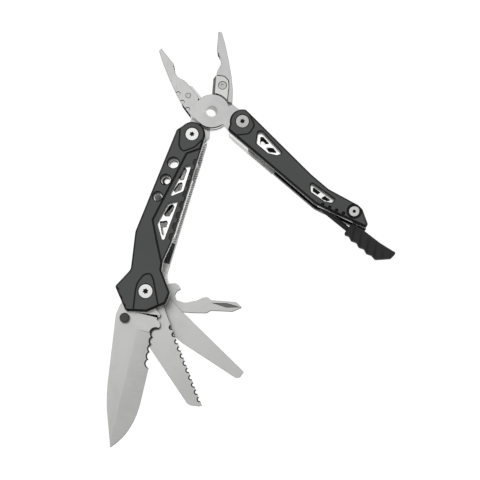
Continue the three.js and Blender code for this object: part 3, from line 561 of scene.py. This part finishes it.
print("blades")
bladeLook = {"edge": 0.07 * mm, "flat": 0.95, "level": 0.99, "ground": 0.9995, "sunk": 0.2 * mm}
for node, name, rough in (("knife_blade", "knifeBlade", 0.33), ("saw_blade", "sawBlade", 0.36),
                          ("file_driver", "fileDriver", 0.36), ("opener_driver", "openerDriver", 0.36)):
    finishes[name] = brushedSteel(name + "Steel", (0.50, 0.50, 0.488), (0.43, 0.43, 0.42), rough, headings[node],
                                  density=12000.0, stretch=0.012, contrast=1.4, strength=0.08)
    shape = mergedCopy(node)
    bevelEdges(shape, sharpEdges(shape), bladeLook["edge"])
    low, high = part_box(node)
    ground = name + "Ground"
    finishes[ground] = brushedSteel(ground + "Steel", (0.475, 0.475, 0.464), (0.405, 0.405, 0.396), rough,
                                    headings[node] + math.pi / 2, density=7000.0, stretch=0.03, contrast=1.6,
                                    strength=0.08)
    # walls and edge bevels get a dark painted shade
    for face in shape.faces:
        rise = abs(face.normal.z)
        # the sunk flute of the opener driver gets a darker painted shade
        sunk = rise > bladeLook["level"] and (
            low.z + bladeLook["sunk"] < face.calc_center_median().z < high.z - bladeLook["sunk"])
        face.material_index = 1 if rise < bladeLook["flat"] else (3 if sunk and name == "openerDriver" else 0)
        if bladeLook["flat"] < rise < bladeLook["ground"]:
            face.material_index = 2
    finishPiece(shape, name, node, [name, "bladeWallShade", ground, "driverFluteShade"])

print("screws")
screwLook = {"edge": 0.06 * mm, "socket": 1.98 * mm, "socketDepth": 0.85 * mm, "socketScale": 0.8,
             "darkReach": 1.9 * mm, "darkDepth": 0.05 * mm}
for node, name, finish in (("pivot_a_screw", "pivotAScrew", "screw"), ("tool_pivot_screw", "toolPivotScrew", "screw"),
                           ("pivot_b_screw", "pivotBScrew", "screwDull"), ("end_b_screw", "endBScrew", "screw")):
    low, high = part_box(node)
    axis = middleOf(node).xy
    shape = mergedCopy(node)
    for vert in shape.verts:
        arm = vert.co.xy - axis
        if arm.length < screwLook["socket"] and vert.co.z > high.z - screwLook["socketDepth"]:
            vert.co.xy = axis + screwLook["socketScale"] * arm
    bevelEdges(shape, sharpEdges(shape), screwLook["edge"])
    # faces sunk inside the socket get a near-black painted shade
    for face in shape.faces:
        centre = face.calc_center_median()
        reach = (centre.xy - axis).length
        sunk = centre.z < high.z - screwLook["darkDepth"] and reach < screwLook["darkReach"]
        face.material_index = 1 if sunk else 0
    finishPiece(shape, name, node, [finish, "socket"])
for node, name in (("pivot_a_barrel", "pivotABarrel"), ("tool_pivot_barrel", "toolPivotBarrel"),
                   ("pivot_b_barrel", "pivotBBarrel"), ("end_b_barrel", "endBBarrel"),
                   ("pivot_a_collar", "pivotACollar"), ("pivot_b_collar", "pivotBCollar"),
                   ("handle_pillar", "handlePillar")):
    makePlain(node, name, "screwDull", "screwDull")
makePlain("thumb_stud", "thumbStud", "stud", "stud", 0.3 * mm, 3)

print("fire starter")
makePlain("striker_grip", "strikerGrip", "grip", "grip", 0.5 * mm, 3, 50)
makePlain("fire_rod", "fireRod", "rod", "rod")


print("studio")
floorLook = {"size": 3.0, "rough": 0.9, "tone": 0.16, "glow": 0.93, "height": -0.0002}
floorMesh = bpy.data.meshes.new("floor")
shape = bmesh.new()
bmesh.ops.create_grid(shape, x_segments=1, y_segments=1, size=floorLook["size"])
shape.to_mesh(floorMesh)
shape.free()
floorMaterial, tree, shader = startMaterial("paleFloor", floorLook["rough"], 0.0)
shader.inputs["Base Color"].default_value = (floorLook["tone"],) * 3 + (1,)
shader.inputs["Emission Color"].default_value = (1, 1, 1, 1)
shader.inputs["Emission Strength"].default_value = floorLook["glow"]
shader.inputs["Specular IOR Level"].default_value = 0.0
floorMesh.materials.append(floorMaterial)
floor = bpy.data.objects.new("floor", floorMesh)
floor.location.z = floorLook["height"]
bpy.context.scene.collection.objects.link(floor)
floor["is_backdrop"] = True

# the camera sees white; reflections see a sky that is darker near the horizon
skyLook = {"low": 0.2, "lowTone": 0.22, "high": 0.62, "strength": 0.9}
world = bpy.data.worlds.new("studio")
bpy.context.scene.world = world
world.use_nodes = True
sky = world.node_tree
direction = sky.nodes.new("ShaderNodeTexCoord").outputs["Generated"]
rise = addNode(sky, "ShaderNodeSeparateXYZ", None, {0: direction}).outputs[2]
ramp = sky.nodes.new("ShaderNodeValToRGB")
sky.links.new(rise, ramp.inputs[0])
ramp.color_ramp.elements[0].position = skyLook["low"]
ramp.color_ramp.elements[0].color = (skyLook["lowTone"],) * 3 + (1,)
ramp.color_ramp.elements[1].position = skyLook["high"]
ramp.color_ramp.elements[1].color = (1, 1, 1, 1)
seen = sky.nodes.new("ShaderNodeLightPath").outputs["Is Camera Ray"]
sky.links.new(mixColours(sky, seen, ramp.outputs[0], (1, 1, 1)), sky.nodes["Background"].inputs["Color"])
sky.nodes["Background"].inputs["Strength"].default_value = skyLook["strength"]

target = Vector((-6.8, -4.35, 9.5)) * mm
lights = {
    "above": {"at": (-0.25, 0.35, 0.9), "size": 0.7, "power": 0.9},
    "left": {"at": (-0.8, -0.1, 0.6), "size": 0.6, "power": 0.7},
}
for name, look in lights.items():
    lamp = bpy.data.lights.new(name, "AREA")
    lamp.shape = "DISK"
    lamp.size = look["size"]
    lamp.energy = look["power"]
    made = bpy.data.objects.new(name, lamp)
    made.location = look["at"]
    made.rotation_euler = (target - made.location).to_track_quat("-Z", "Y").to_euler()
    bpy.context.scene.collection.objects.link(made)

view = {"from": Vector((0.03, -0.2, 1)), "distance": 583 * mm, "lens": 82.5,
        "sensor": 36, "nearest": 0.01}
camera = bpy.data.cameras.new("camera")
camera.lens = view["lens"]
camera.sensor_width = view["sensor"]
camera.clip_start = view["nearest"]
eye = bpy.data.objects.new("camera", camera)
towards = view["from"].normalized()
eye.location = target + towards * view["distance"]
forward = -towards
right = forward.cross(Vector((0, 1, 0))).normalized()
upward = right.cross(forward)
eye.rotation_mode = "QUATERNION"
eye.rotation_quaternion = Matrix((right, upward, towards)).transposed().to_quaternion()
bpy.context.scene.collection.objects.link(eye)
bpy.context.scene.camera = eye
bpy.context.scene.view_settings.view_transform = "Standard"

low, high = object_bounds()
